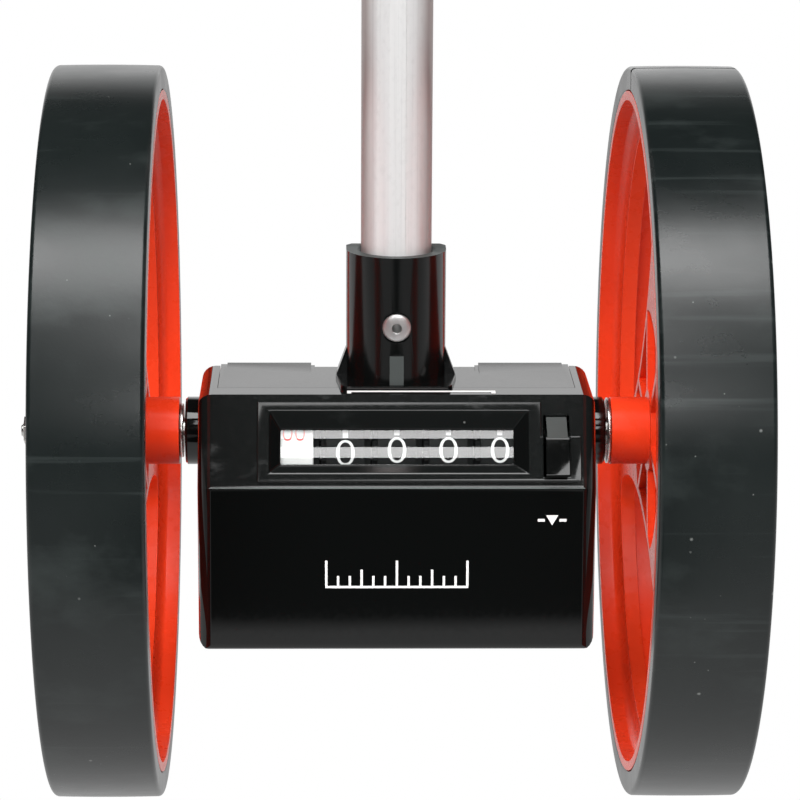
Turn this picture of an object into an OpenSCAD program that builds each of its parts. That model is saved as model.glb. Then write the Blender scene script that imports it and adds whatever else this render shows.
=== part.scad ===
// Two-wheel distance measuring wheel with a mechanical counter and a telescopic handle.
// Origin on the ground under the middle of the axle. X runs along the axle, -Y is the counter side, and +Z is
// up the handle. The modules draw their parts round the middle of the axle, and on_ground() lifts them all.

/* [Wheels] */
// Distance rolled in one turn, which sets the wheel's size
wheel_circumference = 500; // [480:5:520]
// Distance from the middle of the axle to the inner side of each tyre
tyre_inner_x = 50.3; // [50:0.1:51]
// Width of the tyre
tyre_w = 23.1; // [22:0.1:24]
// Thickness of the rubber
tyre_t = 5.4; // [4:0.1:6]
// Radius on the tyre's outer edges
tyre_edge_r = 1; // [0.8:0.1:2.4]
// Thickness of the rim band under the tyre
rim_wall = 2; // [1.6:0.1:3]
// Distance from the inner side of the tyre to the face of the web
web_inset = 5; // [4.5:0.1:6.5]
// Thickness of the web
web_t = 3.4; // [3:0.1:4]
// Radius of the outer edge of the windows in the web
window_r = 68; // [66:0.5:69]
// Radius of the curve of the windows' inner edge
window_curve_r = 90; // [70:5:130]
// Distance from the axle to the windows' inner edge
window_inner_r = 21.3; // [19:0.1:23]
// Number of windows, with a spoke between each two
spoke_count = 3; // [3:1:3]
// Direction of the first spoke, in degrees from +Y towards +Z
spoke_angle = -19; // [-60:1:60]
// Radius of the pocket around the hub
pocket_r = 26.4; // [24:0.1:28]
// Number of ribs in the pocket
rib_count = 6; // [3:1:8]
// Direction of the first rib, in degrees from +Y towards +Z
rib_angle = 15; // [0:1:60]
// Radius of the wheel hub
hub_r = 7.35; // [6.5:0.05:8]
// Distance from the middle of the axle to the inner end of each hub
hub_inner_x = 47; // [46.8:0.1:47.5]
// Distance from the middle of the axle to the outer end of each hub
hub_outer_x = 78; // [76:0.5:78]

/* [Axle] */
// Radius of the steel axle
axle_r = 3; // [2.5:0.1:3.2]
// Radius of the threaded axle ends
thread_r = 1.5; // [1.3:0.1:1.8]
// Distance from the middle of the axle to its tips
axle_tip_x = 81.6; // [81:0.1:82]
// Radius of the bearing bushes outside the housing
bush_r = 7.4; // [6.5:0.1:8]

/* [Counter housing] */
// Width of the housing
body_w = 84.6; // [84:0.2:85]
// Height of the housing's top above the axle
body_top = 13.05; // [13:0.05:13.4]
// Depth of the housing's bottom below the axle
body_bottom = 41.4; // [40:0.2:44]
// Distance from the axle to the lower front face
face_y = 28; // [27.8:0.1:28.4]
// Distance from the axle to the front edge of the top
brow_y = 20; // [19.8:0.1:20.2]
// Depth of the ledge, where the counter panel meets the lower front face, below the axle
ledge_z = 5.5; // [5.2:0.1:5.6]
// Distance from the axle to the rear face
rear_y = 8.6; // [8.4:0.1:9.2]
// Thickness of the housing's walls
wall = 2.2; // [1.8:0.1:2.4]

/* [Counter] */
// Teeth on the axle's drive gear
drive_teeth = 15; // [15:15:15]
// Teeth on the counter's input gear: the first drum turns once for two turns of the wheel
input_teeth = 30; // [30:15:30]
// Module of the drive gears
gear_module = 0.6; // [0.6:0.01:0.6]
// Number of figure drums
drum_count = 5; // [5:1:5]
// Distance between neighbouring drums
drum_pitch = 10.95; // [10.8:0.05:11]
// Radius of a figure drum
drum_r = 9.5; // [9:0.1:9.6]
// Width of a figure drum
drum_w = 8.2; // [7.8:0.1:8.3]
// Angle of the drum shaft round the axle, in degrees below the -Y direction
drum_angle = 6.8; // [6:0.1:7.5]
// Width of the window
window_w = 49.4; // [48:0.1:50]
// Height of the window along the panel
window_h = 7.4; // [7:0.1:8]
// Distance of the window's centre from the top edge of the panel, along the panel
window_drop = 11.15; // [11.05:0.05:11.35]

/* [Handle] */
// Distance of the handle's axis in front of the axle
handle_y = 3.2; // [3:0.1:3.6]
// Outer radius of the lower tube
lower_r = 7.6; // [7.4:0.05:7.7]
// Outer radius of the middle tube
middle_r = 6.1; // [5.9:0.05:6.2]
// Outer radius of the upper tube
upper_r = 4.7; // [4.5:0.05:4.75]
// Wall thickness of the tubes
tube_t = 1; // [0.8:0.05:1]
// Height of the top of the lower tube
lower_top = 330; // [300:5:340]
// Height of the top of the socket
socket_top = 41.2; // [40:0.1:43]
// Half the width of the socket
socket_r = 10.75; // [10.5:0.05:11]
// Length of the grip
grip_len = 92; // [85:1:100]

/* [Hidden] */

fine = 96;                      // segments of a large round
small = 48;                     // segments of a small round
fit = 0.05;                     // radial running clearance
gap = 0.1;                      // clearance between parts that lie side by side
eps = 0.01;                     // overlap of cutting shapes

wheel_r = wheel_circumference / (2 * PI);
seat_r = wheel_r - tyre_t;
rim_r = seat_r - rim_wall;
tyre_outer_x = tyre_inner_x + tyre_w;
web_x = tyre_inner_x + web_inset;
rib_t = 1.8;
pocket_depth = 1.7;
fillet_w = 4;                   // radial width of the fillet between the rim band and the web
fillet_h = 2.2;                 // its height along the axle
key_w = 2;                      // width of the keys that lock the left wheel and the gear to the axle

side_r = 3;                     // radius of the housing's edges at its sides
ledge_r = 3.5;                  // radius between the counter panel and the lower front face
foot_r = 1.5;                   // radius of the front edge of the underside
rear_r = 0.8;                   // radius of the rear edges
top_inset_x = 38.2;             // half the width of the top cover
top_inset_y = 14;               // front edge of the top cover, in front of the axle
cover_t = 2.2;                  // thickness of the rear cover
rear_run = 5;                   // how far the housing's inner walls run straight past the rear face
lip_t = 1.3;                    // thickness of the rear cover's lip
lip_h = 1.6;                    // height of the rear cover's lip
lip_top = -8;                   // where the lip ends, under the bushes
screw_xs = [-36.5, 36.5];
screw_zs = [-36, 7.8];
boss_r = 2.6;                   // radius of the bosses that take the housing screws
boss_len = 12;
head_seat = 1.4;                // depth of the seats of the housing screws' heads
frame_screw_x = 18;

panel_slope = atan((face_y - brow_y) / (body_top + ledge_z));
panel_len = sqrt(pow(face_y - brow_y, 2) + pow(body_top + ledge_z, 2));

shaft_d = gear_module * (drive_teeth + input_teeth) / 2;
drum_y = -shaft_d * cos(drum_angle);
drum_z = -shaft_d * sin(drum_angle);
drum_gap = drum_pitch - drum_w;
first_drum_x = -2 * drum_pitch;
drum_xs = [for (i = [0:drum_count - 1]) first_drum_x + i * drum_pitch];
shaft_r = 1.5;
hub_bore_r = shaft_r + fit;

plate_t = 1.2;                  // thickness of the counter frame's end plates
plate_x = 28.8;                 // distance from the middle of the axle to their outer faces
base_z = -18.4;                 // underside of the counter frame's base
input_gear_t = 1.2;
input_gear_x = first_drum_x - drum_w / 2 - input_gear_t;

ring_teeth = 20;                // teeth on a drum's transfer ring
pinion_teeth = 8;
pinion_module = 0.8;
pinion_d = pinion_module * (ring_teeth + pinion_teeth) / 2;
pinion_angle = -60;             // direction of the pinion shaft from the drum shaft, from +Y
pinion_y = drum_y + pinion_d * cos(pinion_angle);
pinion_z = drum_z + pinion_d * sin(pinion_angle);
pinion_shaft_r = 1;
ring_t = 1.1;                   // thickness of a transfer ring and of a carry disc

bezel_rise = 0.9;               // rise of the window bezel above the panel
bezel_h = 17.1;
bezel_left = -29.7;
bezel_right = 30.5;
lobe_right = 38.9;              // right end of the bezel's lobe round the lever
lobe_h = 9.8;
bevel_low = [-27.3, -6.1];      // lower left corner of the bezel's bevel
bevel_high = [28.1, 7.9];       // upper right corner of the bevel
tray_t = 0.6;                   // wall of the tray behind the bevel
tray_depth = 1.5;

reset_y = -9;
reset_z = 9;
reset_r = 1.2;
lever_x = 31.3;
lever_w = 4.9;
lever_step = 0.3;               // how much narrower the lever's upper part is, on each side

tube_bottom = 15.6;
rivet_z = 26.1;
rivet_r = 1.7;
rivet_head_r = 3.1;             // radius of the rivet's front flange
stroke = 220;                   // travel of each telescopic joint
middle_bottom = 60;
middle_top = lower_top + 42;
upper_bottom = 95;
lock_h = 26;
grip_z = middle_top + 15;
hang_h = 9;                     // height of the hanging hole above the grip

// ---------- shared shapes ----------

// Puts a drawing made in XY into the YZ plane, rising along +X.
module across() {
    rotate([90, 0, 90]) children();
}

// A round bar or hole along X.
module bar_x(r, x0, x1, y = 0, z = 0) {
    translate([x0, y, z]) across() cylinder(r = r, h = x1 - x0, $fn = r > 6 ? fine : small);
}

// Points of an arc.
function arc(c, r, a0, a1, steps) =
    [for (i = [0:steps]) let (a = a0 + (a1 - a0) * i / steps) c + r * [cos(a), sin(a)]];

// Outline of a rectangle with round corners.
function round_rect(x0, y0, x1, y1, r, steps = 6) = concat(
    arc([x1 - r, y1 - r], r, 0, 90, steps),
    arc([x0 + r, y1 - r], r, 90, 180, steps),
    arc([x0 + r, y0 + r], r, 180, 270, steps),
    arc([x1 - r, y0 + r], r, 270, 360, steps));

// Outline of a gear with straight-sided teeth. A tooth is centred on angle 0.
function gear_outline(teeth, m, addendum = 0.8, dedendum = 1.15) =
    let (step = 360 / teeth, pitch_r = teeth * m / 2)
    [for (i = [0:teeth - 1], side = [-1, 1], part = side < 0 ? [0, 1] : [1, 0])
        let (r = part == 0 ? pitch_r - dedendum * m : pitch_r + addendum * m,
             a = step * i + side * step * (part == 0 ? 0.27 : 0.11))
        r * [cos(a), sin(a)]];

// Places a shape on the counter panel: x along the axle, y up the panel, z out of it, at the window's centre.
module on_panel() {
    translate([0, -brow_y, body_top]) rotate([90 - panel_slope, 0, 0]) translate([0, -window_drop, 0])
        children();
}

// A screw along +Y with a domed head whose face is at y = 0.
module cover_screw(shank_r, head_r, len) {
    head_h = head_r * 0.55;
    rotate([-90, 0, 0]) difference() {
        union() {
            translate([0, 0, -len]) cylinder(r = shank_r, h = len, $fn = small);
            rotate_extrude($fn = small) polygon(concat(
                [[0, 0], [head_r * 0.97, 0]],
                arc([0, -head_r * 0.9], head_r * 1.34, 45, 90, 6)));
        }
        for (a = [0, 90]) rotate([0, 0, a])
            translate([-head_r * 0.6, -head_r * 0.12, head_h * 0.35])
                cube([head_r * 1.2, head_r * 0.24, head_h]);
    }
}

// ---------- wheels ----------

// The windows between the spokes, with round corners, grown by d. The outer edge follows the rim band, and
// the inner edge bends round the hub.
module web_windows(d) {
    corner = 6;
    for (i = [0:spoke_count - 1]) rotate(spoke_angle + (i + 0.5) * 360 / spoke_count)
        offset(r = corner + d, $fn = 32) offset(delta = -corner) intersection() {
            circle(r = window_r, $fn = fine);
            translate([window_inner_r + window_curve_r, 0]) circle(r = window_curve_r, $fn = fine);
        }
}

// The pocket in the web around the hub, between the ribs.
module hub_pocket() {
    lip = 1.6;
    difference() {
        circle(r = pocket_r, $fn = fine);
        circle(r = hub_r + lip, $fn = fine);
        web_windows(lip);
        for (i = [0:rib_count - 1]) rotate(rib_angle + i * 360 / rib_count)
            translate([0, -rib_t / 2]) square([pocket_r + 1, rib_t]);
    }
}

// Concave fillet between the rim band and the inner face of the web.
module rim_fillet() {
    foot = rim_r - fillet_w;
    start = web_x - fillet_h;
    rotate_extrude($fn = fine) polygon(concat(
        [for (a = [0:15:90]) [foot + fillet_w * cos(a), start + fillet_h * sin(a)]],
        [[foot, web_x + 1], [rim_r + rim_wall / 2, web_x + 1], [rim_r + rim_wall / 2, start]]));
}

// One wheel's rim, hub, web and spokes, on the +X side. bore_r is the hub's bore.
module rim(bore_r) {
    color("orangered") across() difference() {
        union() {
            translate([0, 0, tyre_inner_x]) difference() {
                cylinder(r = seat_r, h = tyre_w, $fn = fine);
                translate([0, 0, -eps]) cylinder(r = rim_r, h = tyre_w + 2 * eps, $fn = fine);
            }
            difference() {
                union() {
                    translate([0, 0, web_x]) cylinder(r = rim_r + rim_wall / 2, h = web_t, $fn = fine);
                    rim_fillet();
                }
                translate([0, 0, web_x - 10]) linear_extrude(20) web_windows(0);
                translate([0, 0, web_x - 1]) linear_extrude(1 + pocket_depth) hub_pocket();
            }
            translate([0, 0, hub_inner_x]) cylinder(r = hub_r, h = hub_outer_x - hub_inner_x, $fn = fine);
        }
        translate([0, 0, hub_inner_x - 1])
            cylinder(r = bore_r, h = hub_outer_x - hub_inner_x + 2, $fn = small);
    }
}

module tyre() {
    steps = 6;
    profile = concat(
        [[seat_r, tyre_inner_x], [wheel_r - tyre_edge_r, tyre_inner_x]],
        arc([wheel_r - tyre_edge_r, tyre_inner_x + tyre_edge_r], tyre_edge_r, -90 + 90 / steps, 0, steps - 1),
        arc([wheel_r - tyre_edge_r, tyre_outer_x - tyre_edge_r], tyre_edge_r, 0, 90 - 90 / steps, steps - 1),
        [[wheel_r - tyre_edge_r, tyre_outer_x], [seat_r, tyre_outer_x]]);
    color("darkslategray") across() rotate_extrude($fn = fine) polygon(profile);
}

// The left rim is keyed to the axle.
module left_rim() {
    mirror([1, 0, 0]) difference() {
        rim(axle_r);
        color("orangered") translate([hub_outer_x - 14, -key_w / 2, 0]) cube([15, key_w, axle_r + 1]);
    }
}

module left_tyre() {
    mirror([1, 0, 0]) tyre();
}

// The right rim turns freely on the axle.
module right_rim() {
    rim(axle_r + fit);
}

module right_tyre() {
    tyre();
}

// ---------- axle ----------

module axle() {
    shoulder = hub_outer_x;
    color("silver") difference() {
        union() {
            bar_x(axle_r, -shoulder + 1, shoulder);
            bar_x(thread_r, -axle_tip_x + 0.3, axle_tip_x - 0.3);
            bar_x(thread_r - 0.3, -axle_tip_x, axle_tip_x);
        }
        translate([-shoulder, -key_w / 2, axle_r - 1]) cube([14, key_w, 2]);
        translate([input_gear_x - gap, -key_w / 2, axle_r - 1]) cube([input_gear_t + 2 * gap, key_w, 2]);
    }
}

// Keys in the axle's grooves, under the left hub and under the drive gear.
module axle_keys() {
    color("dimgray") {
        translate([-hub_outer_x + 1, -key_w / 2, axle_r - 1]) cube([13, key_w, 2]);
        translate([input_gear_x, -key_w / 2, axle_r - 1]) cube([input_gear_t, key_w, 1.5]);
    }
}

module axle_nuts() {
    across_flats = 5.5;
    h = 2.4;
    color("gainsboro") for (s = [-1, 1]) difference() {
        translate([s * (hub_outer_x + gap + 0.5 + h / 2), 0, 0]) rotate([0, 90, 0])
            cylinder(r = across_flats / sqrt(3), h = h, center = true, $fn = 6);
        bar_x(thread_r, -axle_tip_x - 1, axle_tip_x + 1);
    }
}

module hub_washers() {
    color("silver") for (s = [0, 1]) mirror([s, 0, 0]) difference() {
        bar_x(4.5, hub_outer_x + gap, hub_outer_x + gap + 0.5);
        bar_x(thread_r, hub_outer_x - 1, hub_outer_x + 2);
    }
}

// Washers between the bushes and the hubs.
module spacer_washers() {
    t = 0.7;
    color("silver") for (s = [0, 1]) mirror([s, 0, 0]) difference() {
        bar_x(s == 0 ? 7.2 : 5.9, hub_inner_x - t - gap, hub_inner_x - gap);
        bar_x(axle_r, hub_inner_x - 5, hub_inner_x + 1);
    }
}

module drive_gear() {
    color("goldenrod") difference() {
        translate([input_gear_x, 0, 0]) across() rotate(180 + drum_angle)
            linear_extrude(input_gear_t) polygon(gear_outline(drive_teeth, gear_module));
        bar_x(axle_r, input_gear_x - 1, input_gear_x + input_gear_t + 1);
        translate([input_gear_x - 1, -key_w / 2, 0]) cube([input_gear_t + 2, key_w, axle_r + 0.5]);
    }
}

// One bearing bush: a round block outside the wall, a spigot through it and a lip inside.
module bush() {
    out = body_w / 2;
    chamfer = 0.35;
    color([0.08, 0.08, 0.08]) difference() {
        union() {
            bar_x(bush_r, out, out + 3.4 - chamfer);
            bar_x(bush_r - chamfer, out, out + 3.4);
            bar_x(bush_r - 2, out - wall - 4, out + 1);
        }
        bar_x(axle_r + fit, out - 20, out + 10);
    }
}

module right_bush() {
    bush();
}

module left_bush() {
    mirror([1, 0, 0]) bush();
}

// ---------- counter housing ----------

// A quarter round in an outline inset by d. sy and sz point from the corner (y, z) into the outline.
function inset_corner(y, z, sy, sz, r, d, a0, steps) =
    let (q = max(r - d, 0.3))
    arc([y + sy * (d + q), z + sz * (d + q)], q, a0, a0 + 90, steps);

// Side outline of the housing, inset by d.
function side_outline(d) =
    let (s = panel_slope)
    concat(
        [[-brow_y + d / cos(s) - d * tan(s), body_top - d]],
        arc([-face_y + ledge_r, -ledge_z - ledge_r * tan(s / 2)], ledge_r - d, 180 - s, 180, 4),
        inset_corner(-face_y, -body_bottom, 1, 1, foot_r, d, 180, 6),
        inset_corner(rear_y, -body_bottom, -1, 1, rear_r, d, 270, 3),
        inset_corner(rear_y, body_top, -1, -1, rear_r, d, 0, 3));

// Solid with the housing's outer shape, inset by d. Its edges at the sides are round.
module housing_block(d) {
    hw = body_w / 2 - d;
    q = max(side_r - d, 0.8);
    intersection() {
        translate([-hw, 0, 0]) across() linear_extrude(2 * hw) polygon(side_outline(d));
        translate([0, 60, 0]) rotate([90, 0, 0]) linear_extrude(120)
            polygon(round_rect(-hw, -body_bottom + d, hw, body_top - d, q));
        translate([0, 0, -80]) linear_extrude(160)
            polygon(round_rect(-hw, -face_y + d, hw, rear_y - d, q));
        translate([0, -brow_y, body_top]) rotate([180 - panel_slope, 0, 0])
            linear_extrude(200, center = true) polygon(round_rect(-hw, -80, hw, -d, q));
    }
}

// The opening that the top cover fills, grown by d.
module top_opening(d) {
    translate([-top_inset_x - d, -top_inset_y - d, body_top - wall - eps])
        cube([2 * (top_inset_x + d), top_inset_y + rear_y + 10, wall + 1]);
}

// Cylinders along Y at the four housing screws, that end at y.
module at_housing_screws(r, len, y) {
    for (x = screw_xs, z = screw_zs) translate([x, y, z]) rotate([90, 0, 0])
        cylinder(r = r, h = len, $fn = small);
}

// Bosses for the housing screws, each tied to the nearest side wall.
module screw_bosses() {
    end = rear_y - cover_t - gap;
    web_t = 1.6;
    intersection() {
        union() {
            at_housing_screws(boss_r, boss_len, end);
            for (s = [0, 1], z = screw_zs) mirror([s, 0, 0])
                translate([screw_xs[1], end - boss_len, z - web_t / 2])
                    cube([10, boss_len - lip_h - gap, web_t]);
        }
        housing_block(wall / 2);
    }
}

module front_housing() {
    boss_h = body_bottom + base_z - eps;
    color([0.05, 0.05, 0.05]) difference() {
        union() {
            difference() {
                housing_block(0);
                housing_block(wall);
                translate([0, rear_run, 0]) housing_block(wall);
                translate([-60, rear_y - cover_t - gap, -60]) cube([120, 20, 120]);
                top_opening(gap);
            }
            for (x = [-frame_screw_x, frame_screw_x]) translate([x, drum_y, -body_bottom + 1])
                cylinder(r = 3, h = boss_h - 1, $fn = small);
            difference() {
                screw_bosses();
                top_opening(gap);
            }
        }
        for (s = [0, 1]) mirror([s, 0, 0]) bar_x(bush_r - 2, body_w / 2 - 10, body_w / 2 + 10);
        on_panel() bezel_tray(gap, 6, 12);
        lever_slot(0.35);
        for (x = [-frame_screw_x, frame_screw_x]) translate([x, drum_y, -body_bottom + 4])
            cylinder(r = 1, h = boss_h, $fn = small);
        at_housing_screws(1.2, 20, rear_y + 8);
    }
}

// The lip that centres the rear cover in the housing, along its bottom and the lower part of its sides.
module rear_lip() {
    difference() {
        intersection() {
            translate([0, rear_run, 0]) housing_block(wall + gap);
            translate([-60, rear_y - cover_t - lip_h, -60]) cube([120, lip_h + gap, 60 + lip_top]);
        }
        translate([0, rear_run, 0]) housing_block(wall + gap + lip_t);
        at_housing_screws(boss_r + gap, 20, rear_y - cover_t);
    }
}

// The rear wall of the housing, with raised ribs.
module rear_cover() {
    color([0.07, 0.07, 0.07]) difference() {
        union() {
            intersection() {
                housing_block(0);
                translate([-60, rear_y - cover_t, -60]) cube([120, 20, 60 + body_top - wall - gap]);
            }
            rear_lip();
            intersection() {
                for (i = [-3:3]) translate([-26, rear_y - 0.3, -12 + i * 6]) cube([52, 0.9, 2]);
                translate([0, 0.6, 0]) housing_block(0);
            }
        }
        at_housing_screws(1.5, 20, rear_y + 8);
        at_housing_screws(2.9, 5, rear_y - head_seat + 5);
    }
}

module housing_screws() {
    color("dimgray") for (x = screw_xs, z = screw_zs) translate([x, rear_y - head_seat, z])
        cover_screw(1.2, 2.5, 9);
}

// The lever's slot through the panel, with clearance d at its sides.
module lever_slot(d) {
    on_panel() translate([lever_x - d, -6.6, -6]) cube([lever_w + 2 * d, 13.3, 14]);
}

// The block behind the bezel's bevel, grown by d, of height h above the given depth.
module bezel_tray(d, depth, h) {
    size = bevel_high - bevel_low + 2 * (tray_t + d) * [1, 1];
    translate([bevel_low.x - tray_t - d, bevel_low.y - tray_t - d, -depth]) cube([size.x, size.y, h]);
}

// Raised frame round the window, with a lobe round the reset lever.
module window_bezel() {
    top = bezel_h / 2 + 0.9;
    low = top - bezel_h;
    color([0.06, 0.06, 0.06]) difference() {
        on_panel() difference() {
            union() {
                linear_extrude(bezel_rise) polygon([
                    [bezel_left, low], [lobe_right, low], [lobe_right, low + lobe_h],
                    [bezel_right, low + lobe_h], [bezel_right, top], [bezel_left, top]]);
                bezel_tray(0, tray_depth, tray_depth + eps);
                translate([-window_w / 2 - 0.9, -window_h / 2 - 0.9, -wall])
                    cube([window_w + 1.8, window_h + 1.8, wall + eps]);
            }
            translate([-window_w / 2, -window_h / 2, -5]) cube([window_w, window_h, 10]);
            hull() {
                translate([bevel_low.x, bevel_low.y, bezel_rise + 0.2])
                    cube([bevel_high.x - bevel_low.x, bevel_high.y - bevel_low.y, 1]);
                translate([-window_w / 2, -window_h / 2, -0.7]) cube([window_w, window_h, 0.1]);
            }
            translate([-window_w / 2 - 0.5, -window_h / 2 - 0.5, -5]) cube([window_w + 1, window_h + 1, 3.9]);
        }
        lever_slot(0.35);
    }
}

// The clear window.
module window_lens() {
    color([0.8, 0.9, 0.95, 0.4]) on_panel()
        translate([-window_w / 2 - 0.5, -window_h / 2 - 0.5, -2]) cube([window_w + 1, window_h + 1, 0.9]);
}

// Flange at the foot of the socket, drawn from above.
socket_foot = [[-12.4, 0.5], [-13, -5], [-11.9, -14.3], [-11, -16.1],
               [11, -16.1], [11.9, -14.3], [13, -5], [12.4, 0.5]];

// Socket for the handle's tube: a tall block with a round front, on a flange with two gussets.
module socket() {
    foot_z = body_top - 0.2;
    back = 5.8;                     // less than the tube's radius: the socket is open at the back
    gusset_t = 3.7;
    gusset_h = 7.3;
    translate([0, 0, foot_z]) linear_extrude(1) polygon(socket_foot);
    translate([0, -handle_y, foot_z]) linear_extrude(socket_top - foot_z) polygon(concat(
        arc([0, 0], socket_r, 180, 360, 24),
        [[socket_r, back - 1.6], [socket_r - 1.2, back], [-socket_r + 1.2, back], [-socket_r, back - 1.6]]));
    translate([0, -handle_y, body_top - wall]) cylinder(r = socket_r - 5, h = wall + 1, $fn = fine);
    translate([0, -handle_y + gusset_t / 2, foot_z]) rotate([90, 0, 0]) linear_extrude(gusset_t)
        polygon([[-12.9, 0.9], [12.9, 0.9], [socket_r - 0.2, gusset_h], [-socket_r + 0.2, gusset_h]]);
    translate([-1.5, -handle_y - socket_r - 0.9, foot_z]) cube([3, 3, 7.3]);
}

// Top cover with the handle's socket moulded on it.
module top_cover() {
    ridge_x = 18.4;                 // inner end of the low ridges along the rear edge
    ridge_w = 18.4;
    groove_roof = 1.4;              // what is left of the cover above the groove for the reset bar
    color([0.09, 0.09, 0.09]) difference() {
        union() {
            intersection() {
                housing_block(0);
                translate([-top_inset_x, -top_inset_y, body_top - wall])
                    cube([2 * top_inset_x, 60, wall + 1]);
            }
            for (s = [0, 1]) mirror([s, 0, 0]) translate([ridge_x, rear_y, body_top]) across()
                linear_extrude(ridge_w)
                    polygon([[-4, -0.3], [-4, 0], [-1.2, 0.3], [-0.6, 0.3], [-0.6, -0.3]]);
            socket();
        }
        for (s = [0, 1]) mirror([s, 0, 0]) {
            translate([13.6, -0.6, body_top - 0.4]) cube([ridge_x - 13.6, 20, 2]);
            translate([12, 3, body_top - 0.8]) cube([ridge_x - 12.8, 20, 2]);
        }
        translate([0, -handle_y, tube_bottom]) cylinder(r = lower_r, h = 60, $fn = fine);
        translate([0, -handle_y, socket_top - 0.7]) rotate_extrude($fn = fine)
            polygon([[0, 0], [lower_r - 0.1, 0], [lower_r + 0.9, 0.8], [0, 0.8]]);
        translate([-30, -brow_y - 5, body_top - 5]) cube([60, brow_y + 5 - top_inset_y, 5 + fit]);
        translate([-plate_x - 1, reset_y - 3.6, body_top - 5])
            cube([plate_x + lever_x + lever_w + 1.6, 6.8, 5 - groove_roof]);
        rivet_hole();
        translate([0, -handle_y - socket_r - 1, rivet_z]) rotate([-90, 0, 0])
            cylinder(r = rivet_head_r + 0.3, h = 1.4, $fn = small);
    }
}

// ---------- counter ----------

// Outline of an end plate of the counter frame.
module end_plate() {
    pinion_boss = 2.6;
    reset_boss = 2.4;
    translate([drum_y, drum_z]) circle(r = 6.5, $fn = fine);
    translate([drum_y - 5, base_z]) square([10, drum_z - base_z]);
    translate([pinion_y, pinion_z]) circle(r = pinion_boss, $fn = small);
    translate([drum_y, pinion_z - pinion_boss]) square([pinion_y - drum_y, 2 * pinion_boss]);
    translate([reset_y, reset_z]) circle(r = reset_boss, $fn = small);
    translate([reset_y - reset_boss, drum_z]) square([2 * reset_boss, reset_z - drum_z]);
}

// U-shaped frame: two end plates and a base.
module counter_frame() {
    base_half = 8.5;
    color("lightslategray") difference() {
        union() {
            for (s = [0, 1]) mirror([s, 0, 0]) translate([plate_x - plate_t, 0, 0]) across()
                linear_extrude(plate_t) end_plate();
            translate([-plate_x, drum_y - base_half, base_z]) cube([2 * plate_x, 2 * base_half, plate_t]);
        }
        bar_x(shaft_r, -40, 40, drum_y, drum_z);
        bar_x(pinion_shaft_r, -40, 40, pinion_y, pinion_z);
        bar_x(reset_r + fit, -40, 40, reset_y, reset_z);
        for (x = [-frame_screw_x, frame_screw_x]) translate([x, drum_y, base_z - 1])
            cylinder(r = 1.3, h = 4, $fn = small);
    }
}

module frame_screws() {
    color("silver") for (x = [-frame_screw_x, frame_screw_x])
        translate([x, drum_y, base_z + plate_t]) rotate([90, 0, 0]) cover_screw(1, 2.2, 7);
}

module drum_shaft() {
    color("silver") bar_x(shaft_r, -plate_x - 0.6, plate_x + 0.6, drum_y, drum_z);
}

module pinion_shaft() {
    color("silver") bar_x(pinion_shaft_r, -plate_x - 0.6, plate_x + 0.6, pinion_y, pinion_z);
}

// Figure drum number i, counted from the fastest. Its ring takes the carry, its disc passes the carry on.
module drum(i) {
    x0 = drum_xs[i] - drum_w / 2;
    side = drum_gap - ring_t - 0.15;
    color(i == 0 ? "white" : "black") difference() {
        union() {
            bar_x(drum_r, x0, x0 + drum_w, drum_y, drum_z);
            if (i > 0) translate([x0 - ring_t, drum_y, drum_z]) across() rotate(pinion_angle)
                linear_extrude(ring_t + eps) polygon(gear_outline(ring_teeth, pinion_module));
            if (i < drum_count - 1) bar_x(6.4, x0 + drum_w - eps, x0 + drum_w + side - 0.2, drum_y, drum_z);
        }
        bar_x(hub_bore_r, x0 - 10, x0 + drum_w + 10, drum_y, drum_z);
        if (i == drum_count - 1) difference() {
            bar_x(drum_r - 1.6, x0 + 2, x0 + drum_w + 1, drum_y, drum_z);
            bar_x(3.4, x0, x0 + drum_w + 2, drum_y, drum_z);
        }
    }
}

module input_gear() {
    color("goldenrod") difference() {
        translate([input_gear_x, drum_y, drum_z]) across() rotate(drum_angle + 180 / input_teeth)
            linear_extrude(input_gear_t) polygon(gear_outline(input_teeth, gear_module));
        bar_x(hub_bore_r, -40, 0, drum_y, drum_z);
    }
}

// Transfer pinion number i, in the space between drum i and the next one.
module transfer_pinion(i) {
    x0 = drum_xs[i] + drum_w / 2;
    color("ivory") difference() {
        translate([x0 + 0.2, pinion_y, pinion_z]) across() rotate(pinion_angle + 180 + 180 / pinion_teeth)
            linear_extrude(drum_gap - 0.4) polygon(gear_outline(pinion_teeth, pinion_module, 0.75));
        bar_x(pinion_shaft_r + fit, x0 - 1, x0 + drum_gap + 1, pinion_y, pinion_z);
    }
}

// ---------- reset ----------

// Thumb lever on the reset bar's end, narrower above its bend.
module reset_lever() {
    thumb = concat(
        [[-21.9, 8.6]],
        arc([-27.54, 5.06], 0.6, 117, 155, 4),
        [[-31.2, -1.5], [-31.1, -2.1], [-30.5, -2.1], [-29.6, -0.6], [-26.6, 1.4], [-20, 3.2],
         [reset_y + 1, reset_z - 2.2], [reset_y + 1, reset_z + 2.2], [reset_y - 2, reset_z + 2.2],
         [-19.2, 7.2]]);
    color([0.05, 0.05, 0.05]) difference() {
        translate([lever_x, 0, 0]) across() linear_extrude(lever_w) union() {
            polygon(thumb);
            translate([reset_y, reset_z]) circle(r = 2.4, $fn = small);
        }
        bar_x(reset_r, lever_x - 1, lever_x + lever_w + 1, reset_y, reset_z);
        for (x = [lever_x - 1, lever_x + lever_w - lever_step])
            translate([x, -40, 5.7]) cube([1 + lever_step, 24, 10]);
    }
}

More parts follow.
